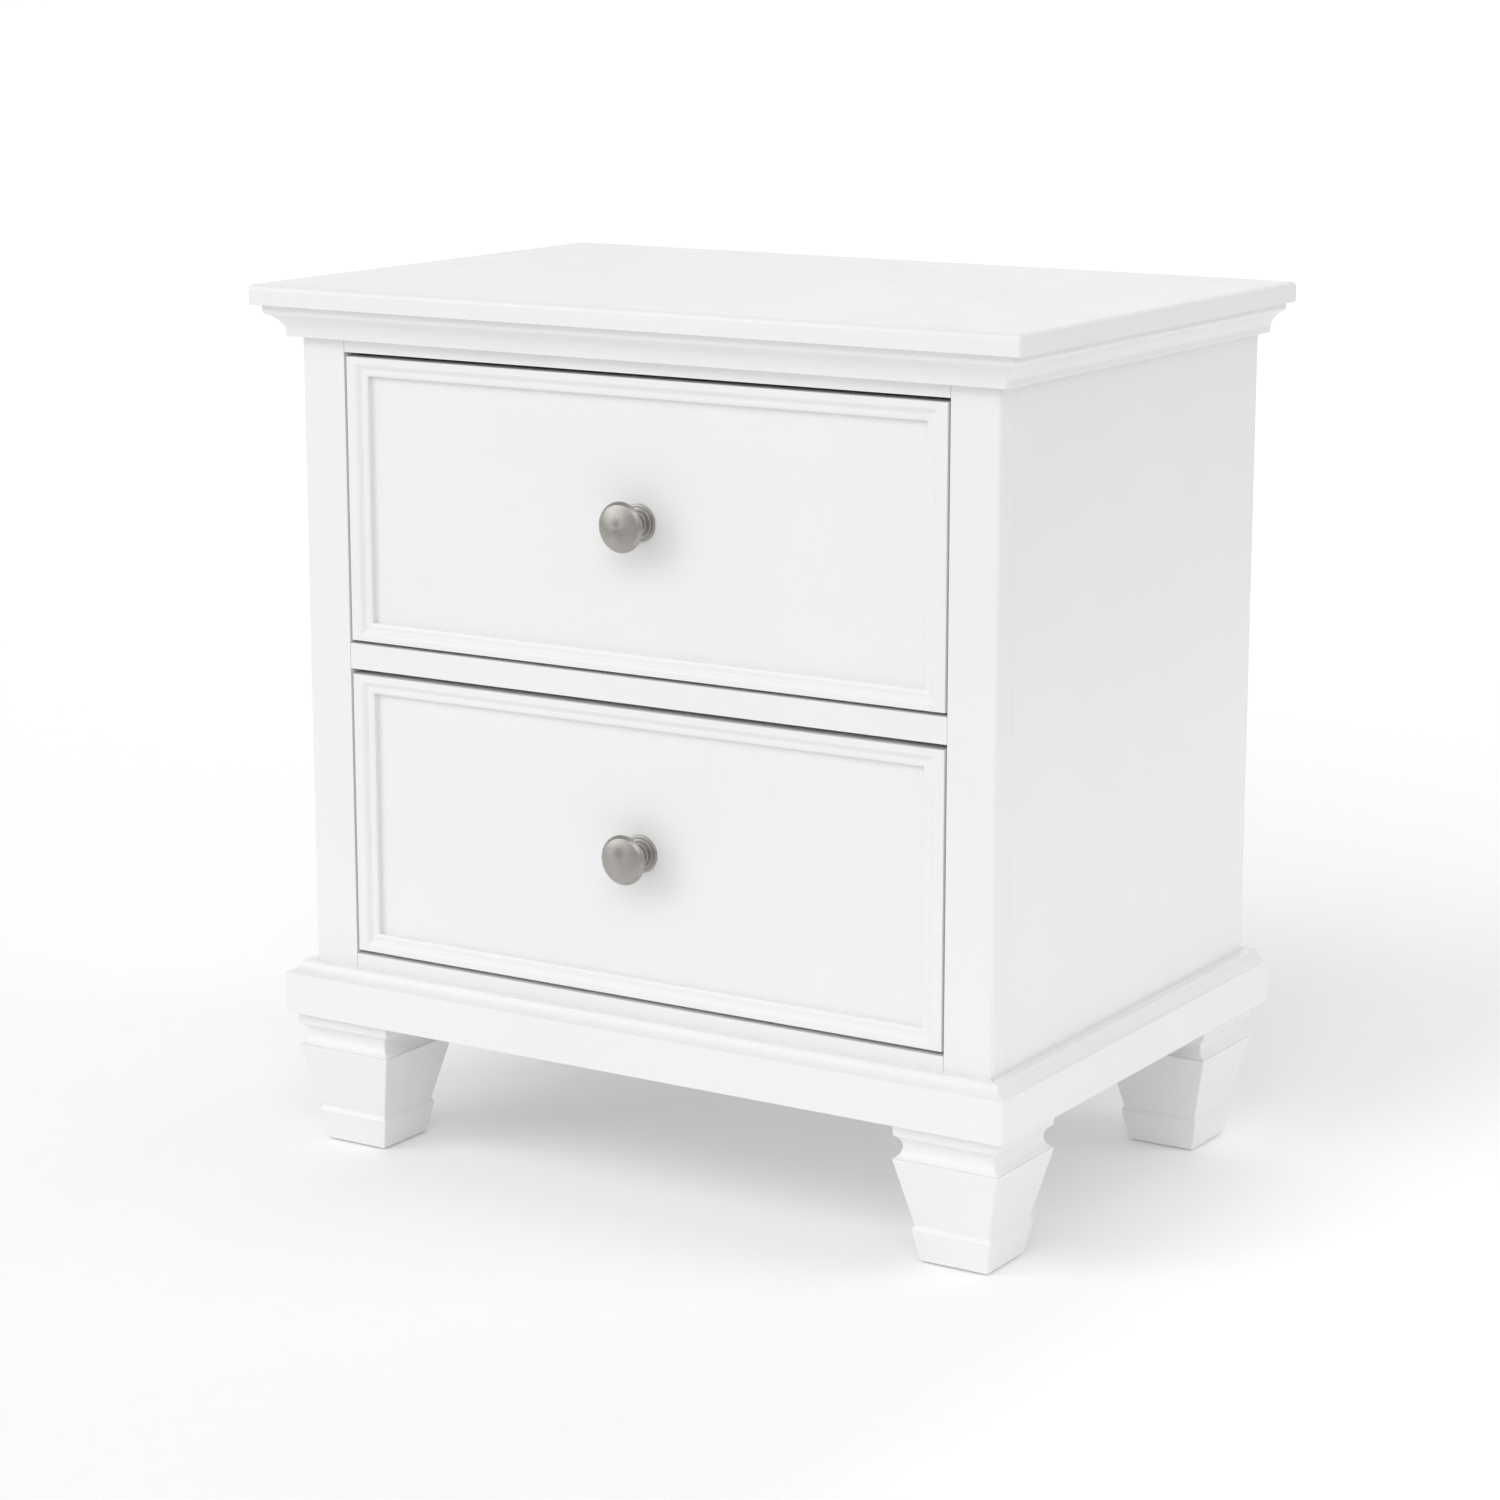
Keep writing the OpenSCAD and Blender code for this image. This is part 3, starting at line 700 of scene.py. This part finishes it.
def make_side_panel(side, word):
    """Side panel with the rabbet for the back in its inner rear edge."""
    node = "side_panel_" + word
    low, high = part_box(node)
    depth = (high.y - low.y) / MM
    thick, lip, rabbet, ease, joint = 15, 7, 5, 0.3, 0.1
    plan = eased([
        (0, 0, ease), (thick, 0, joint), (thick, depth, POST_ROUND),
        (thick - lip, depth, ease), (thick - lip, depth - rabbet), (0, depth - rabbet, ease),
    ])
    inner = side * (half_case - thick * MM)
    bm = bmesh.new()
    loft(bm, [
        [Vector((inner + side * x * MM, low.y + y * MM, z)) for x, y in plan] for z in (low.z, high.z)
    ])
    add_piece(node + "_painted", bm, painted, "case", [node])


def make_back():
    """The hardboard back, its edges eased."""
    ease = 0.3 * MM
    bm = bmesh.new()
    add_box(bm, *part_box("back_panel"), ease)
    add_piece("back_panel_hardboard", bm, brown_board, "case", ["back_panel"])


# ---------------------------------------------------------------- feet


def foot_outline():
    """Half width and height of a foot, from its top down: fillet, cove, edge, taper, ridge and ankle."""
    height, sole, edge, waist, ridge, toe = 105.0, 1.5, 42.3, 30.5, 32.0, 27.5
    fillet = [(42.8, height, 0.3), (42.0, 95.8, 0.5)]
    cove = arc((46.15, 87.3), 9.3, 117, 243, 12)
    lower = [(edge, 79.3, 0.5), (edge, 77.3, 1.0), (waist, 28.3, 1.0), (ridge, 24.6, 0.8), (toe, sole, 0.5)]
    return (
        eased([(0, height)] + fillet + [cove[0]], closed=False)[1:-1]
        + cove
        + eased([cove[-1]] + lower + [(0, sole)], closed=False)[1:-1]
    )


def make_feet():
    """Four square feet with eased corners."""
    corner = 1.3 * MM
    for node in ("foot_front_left", "foot_front_right", "foot_rear_left", "foot_rear_right"):
        low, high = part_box(node)
        middle = (low + high) / 2
        sections = []
        for half, height in foot_outline():
            reach = Vector((half, half, 0)) * MM
            ring = round_rectangle(middle - reach, middle + reach, 0, corner)
            sections.append([Vector((x, y, height * MM)) for x, y in ring])
        bm = bmesh.new()
        loft(bm, sections)
        add_piece(node + "_painted", bm, painted, "case", [node])


# ---------------------------------------------------------------- drawers

# The moulding round a drawer front, in millimetres: its eased edge, the plain margin at the sides and at
# the top and bottom, and how far before the margin's end its slope starts.
STRIP_EASE = 0.7
SIDE_MARGIN, LEVEL_MARGIN = 9.7, 6.2
SOFT_START = 1.8


def strip_section(margin):
    """Margin and planted moulding of a drawer front: distance in from its edge, height over the panel.

    The margin runs into the moulding in a soft S-shaped slope, and a low roll follows.
    """
    sunk, moulded, valley_at, valley, roll_end, roll_radius, steps = 7.4, 7.8, 3.5, 2.7, 3.3, 5.4, 8
    start = (margin + valley_at, sunk - valley)
    end = (margin + moulded, sunk - roll_end)
    roll = arc_between(start, end, roll_radius, steps)
    slope = []
    for i in range(steps + 1):
        share = i / steps
        drop = valley * (1 - math.cos(math.pi * share)) / 2
        slope.append((margin - SOFT_START + (valley_at + SOFT_START) * share, sunk - drop))
    return (
        [(0, 0)]
        + eased([(0, 0), (0, sunk, STRIP_EASE), slope[0]], closed=False)[1:-1]
        + slope[:-1]
        + roll[1:-2]
        + eased([roll[-3], (*end, 0.5), (margin + moulded, 0)], closed=False)[1:]
    )


def mitre_way(distance, margin, next_margin):
    """How far in from the strip's end its mitre lies, at a distance in from its edge."""
    flat_end, next_end = margin - SOFT_START, next_margin - SOFT_START
    if distance < STRIP_EASE:
        return distance
    if distance > flat_end:
        return next_end + distance - flat_end
    share = (distance - STRIP_EASE) / (flat_end - STRIP_EASE)
    return STRIP_EASE + share * (next_end - STRIP_EASE)


def make_drawer_front(drawer):
    """The flat panel of a drawer front and the four mitred strips planted round its edge."""
    body = drawer + "_drawer"
    node = drawer + "_front_panel"
    low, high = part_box(node)
    panel = bmesh.new()
    add_box(panel, low, high, EDGE)
    add_piece(node + "_painted", panel, painted, body, [node])
    ends = {
        "top": ((-1, 1), (1, 1), -Z), "bottom": ((-1, -1), (1, -1), Z),
        "left": ((-1, -1), (-1, 1), X), "right": ((1, -1), (1, 1), -X),
    }
    for word, (first, last, inward) in ends.items():
        own, other = (SIDE_MARGIN, LEVEL_MARGIN) if inward.x else (LEVEL_MARGIN, SIDE_MARGIN)
        start, end = [
            Vector((high.x if x > 0 else low.x, low.y, high.z if z > 0 else low.z)) for x, z in (first, last)
        ]
        along = (end - start).normalized()
        bm = bmesh.new()
        loft(bm, [
            [
                place + way * mitre_way(r, own, other) * MM + inward * r * MM - Y * h * MM
                for r, h in strip_section(own)
            ]
            for place, way in ((start, along), (end, -along))
        ])
        node = f"{drawer}_moulding_{word}"
        add_piece(node + "_painted", bm, painted, body, [node])


def knob_outline():
    """Radius and distance from the panel of a knob: stepped foot, neck, cup, rim, shoulder and dome."""
    rim, face, face_at, dome_height = 18.5, 16.3, 26.4, 2.6
    dome_radius = (face ** 2 + dome_height ** 2) / (2 * dome_height)
    spread = math.degrees(math.asin(face / dome_radius))
    dome = arc((0, face_at + dome_height - dome_radius), dome_radius, 90 - spread, 90, 14)
    lower = eased([
        (0, 0), (14.0, 0), (14.0, 1.8, 0.6), (12.6, 2.2, 0.3), (12.0, 1.9, 0.3), (12.0, 3.5, 0.8),
        (9.9, 4.0, 0.3), (9.5, 3.7, 0.2), (9.5, 6.0, 1.0), (7.0, 6.6, 0.8), (6.25, 9.5, 2.0),
        (6.25, 14.0, 3.0), (12.0, 19.2, 4.0), (17.6, 22.2, 0.6), (rim, 23.0, 0.5), (rim, 24.2, 0.9),
        (*dome[0], 0.9), dome[2],
    ], steps=4, closed=False)
    return lower[:-1] + dome[2:]


def make_knob(drawer):
    """A turned knob, its foot on the drawer front."""
    node = drawer + "_knob"
    low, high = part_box(node)
    place = Vector(((low.x + high.x) / 2, high.y, (low.z + high.z) / 2))
    bm = bmesh.new()
    add_lathe(bm, knob_outline(), place, -Y)
    add_piece(node + "_brushed", bm, satin_nickel(place), drawer + "_drawer", [node])


def make_drawer_box(drawer):
    """The plywood box of a drawer and its hardboard bottom, their edges eased."""
    body = drawer + "_drawer"
    wall_ease, bottom_ease = 0.5 * MM, 0.2 * MM
    for part, material in (
        ("side_left", birch_sides), ("side_right", birch_sides),
        ("box_front", birch_ends), ("box_back", birch_ends),
    ):
        node = f"{drawer}_{part}"
        bm = bmesh.new()
        add_box(bm, *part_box(node), wall_ease)
        add_piece(node + "_birch", bm, material, body, [node])
    node = drawer + "_box_bottom"
    bm = bmesh.new()
    add_box(bm, *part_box(node), bottom_ease)
    add_piece(node + "_hardboard", bm, brown_board, body, [node])


# ---------------------------------------------------------------- boards, slides and fasteners

# Thickness of the slides' steel, in millimetres.
SLIDE_STEEL = 1.2


def islands(node):
    """The boxes, as (low, high), of the separate solids of a CAD node."""
    weld = 0.001 * MM
    bm = bmesh.new()
    bm.from_mesh(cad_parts[node].data)
    bmesh.ops.remove_doubles(bm, verts=bm.verts, dist=weld)
    boxes, seen = [], set()
    for seed in bm.verts:
        if seed in seen:
            continue
        seen.add(seed)
        found, at = [seed], 0
        while at < len(found):
            for edge in found[at].link_edges:
                other = edge.other_vert(found[at])
                if other not in seen:
                    seen.add(other)
                    found.append(other)
            at += 1
        low = Vector([min(v.co[i] for v in found) for i in range(3)])
        high = Vector([max(v.co[i] for v in found) for i in range(3)])
        boxes.append((low, high))
    bm.free()
    return boxes


def make_boards():
    """Boards inside and under the case, their edges eased."""
    ease = 0.7 * MM
    for node, material, slot in (
        ("bottom_board", painted, "white_paint"), ("foot_blocks", painted, "white_paint"),
        ("top_stretchers", pine_across, "raw_board"), ("slide_spacers", pine_along, "raw_board"),
    ):
        bm = bmesh.new()
        for low, high in islands(node):
            add_box(bm, low, high, ease)
        add_piece(node + "_boards", bm, material, "case", [node])


def add_rolled_channel(bm, low, high, web_side):
    """A channel of rolled steel along Y that fills a box; its web is on the side web_side of the box."""
    bend = 1.7
    web = high.x if web_side > 0 else low.x
    reach = (high.x - low.x) / MM
    half = (high.z - low.z) / 2 / MM - SLIDE_STEEL / 2
    middle = (low.z + high.z) / 2
    path = eased([
        (reach, half), (SLIDE_STEEL / 2, half, bend), (SLIDE_STEEL / 2, -half, bend), (reach, -half)
    ], steps=4, closed=False)
    outline = strip_outline(path, SLIDE_STEEL)
    loft(bm, [
        [Vector((web - web_side * u * MM, y, middle + v * MM)) for u, v in outline] for y in (low.y, high.y)
    ])


def add_ball_rows(bm, low, high):
    """Rows of small steel balls along the outside of a slide's flanges, near both of its ends."""
    radius, play, pitch, count, inset = 1.05, 0.1, 7.0, 12, 10.0
    across = (low.x + high.x) / 2
    for height in (low.z - (radius + play) * MM, high.z + (radius + play) * MM):
        for i in range(count):
            for y in (low.y + (inset + i * pitch) * MM, high.y - (inset + i * pitch) * MM):
                ball = bmesh.new()
                bmesh.ops.create_icosphere(ball, subdivisions=2, radius=radius * MM)
                merge(bm, ball, Matrix.Translation((across, y, height)))


def add_flat_heads(bm, low, high, web_side):
    """Low screw heads in a row on the inside of a channel's web."""
    head = [(3.2, -0.05), (3.2, 0.25), (2.6, 0.6), (1.4, 0.7), (1.2, 0.45), (0, 0.4)]
    web = high.x if web_side > 0 else low.x
    middle = (low.z + high.z) / 2
    for share in (0.12, 0.5, 0.86):
        place = Vector((web - web_side * SLIDE_STEEL * MM, low.y + (high.y - low.y) * share, middle))
        add_lathe(bm, head, place, -web_side * X, 24)


def make_slides(drawer):
    """The three members of a drawer's slides: channels on the case, middles and runners."""
    for part, body, inside_out in (
        ("slide_channels", "case", 1), ("slide_middles", drawer + "_slide", 1),
        ("slide_runners", drawer + "_drawer", -1),
    ):
        node = f"{drawer}_{part}"
        bm = bmesh.new()
        for low, high in islands(node):
            web_side = inside_out * (1 if low.x > 0 else -1)
            add_rolled_channel(bm, low, high, web_side)
            if part == "slide_middles":
                add_ball_rows(bm, low, high)
            else:
                add_flat_heads(bm, low, high, web_side)
        add_piece(node + "_rolled", bm, zinc, body, [node])


def cross_ring(reach, half_width, height):
    """A cross-shaped ring of points at a height."""
    corner = []
    for share in (1.0, 0.7, 0.4, 0.0):
        corner.append((half_width + (reach - half_width) * share, half_width))
    quadrant = corner + [(y, x) for x, y in corner[-2::-1]] + [(0, reach)]
    ring = []
    for turn in range(4):
        a = turn * math.pi / 2
        ring += [
            Vector((x * math.cos(a) - y * math.sin(a), x * math.sin(a) + y * math.cos(a), height))
            for x, y in quadrant
        ]
    return ring


def screw_mesh(length):
    """A pan-head screw that points along +Z, the underside of its head at the origin, in millimetres."""
    reach, half_width, top, depth, narrowing = 2.1, 0.45, -2.2, 1.1, 0.6
    recess = cross_ring(reach, half_width, top)
    floor = [Vector((p.x * narrowing, p.y * narrowing, top + depth)) for p in recess]
    angles = [math.atan2(p.y, p.x) for p in recess]
    shape = [
        (2.6, -2.3), (3.3, -2.05), (3.8, -1.5), (4.0, -0.9), (4.0, -0.2), (3.8, 0.0), (2.0, 0.0),
        (2.0, length - 2.0), (0.5, length),
    ]
    bm = bmesh.new()
    loft(bm, [floor, recess] + [
        [Vector((radius * math.cos(a), radius * math.sin(a), z)) for a in angles] for radius, z in shape
    ])
    return bm


def make_screws(node, body, way):
    """Screws in the place of a CAD node's screws, all pointing along way."""
    head_height = 2.4 * MM
    turn = Z.rotation_difference(way).to_matrix().to_4x4()
    bm = bmesh.new()
    for low, high in islands(node):
        middle = (low + high) / 2
        reach = abs((high - low).dot(way)) / 2
        head = middle - way * (reach - head_height)
        length = (2 * reach - head_height) / MM
        merge(bm, screw_mesh(length), Matrix.Translation(head) @ turn @ Matrix.Scale(MM, 4))
    add_piece(node + "_pan_head", bm, zinc, body, [node])


def make_glides():
    """Nail-on glides: a low rounded disc with its nail."""
    disc = [(0, 0), (10.4, 0), (11.2, 0.2), (11.8, 0.7), (11.9, 1.5)]
    nail = [(1.2, 1.5), (1.2, 12.0), (0.4, 12.5)]
    bm = bmesh.new()
    for low, high in islands("foot_glides"):
        place = Vector(((low.x + high.x) / 2, (low.y + high.y) / 2, 0))
        add_lathe(bm, disc + nail, place, Z, 48)
    add_piece("foot_glides_moulded", bm, glide_nylon, "case", ["foot_glides"])


def dress(node, material):
    """Gives a CAD node that keeps its own shape a material in every slot."""
    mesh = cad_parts[node].data
    mesh.materials.clear()
    mesh.materials.append(material)


make_camera()
make_lights()
make_backdrop()
make_top_panel()
make_mouldings()
make_case()
make_feet()
for drawer in ("upper", "lower"):
    make_drawer_front(drawer)
    make_knob(drawer)
    make_drawer_box(drawer)
    make_slides(drawer)
    make_screws(drawer + "_front_screws", drawer + "_drawer", -Y)
    make_screws(drawer + "_knob_screw", drawer + "_drawer", -Y)
make_boards()
make_screws("top_screws", "case", Z)
make_screws("back_screws", "case", -Y)
make_glides()
dress("foot_bolts", zinc)

scene.view_settings.view_transform = "Standard"
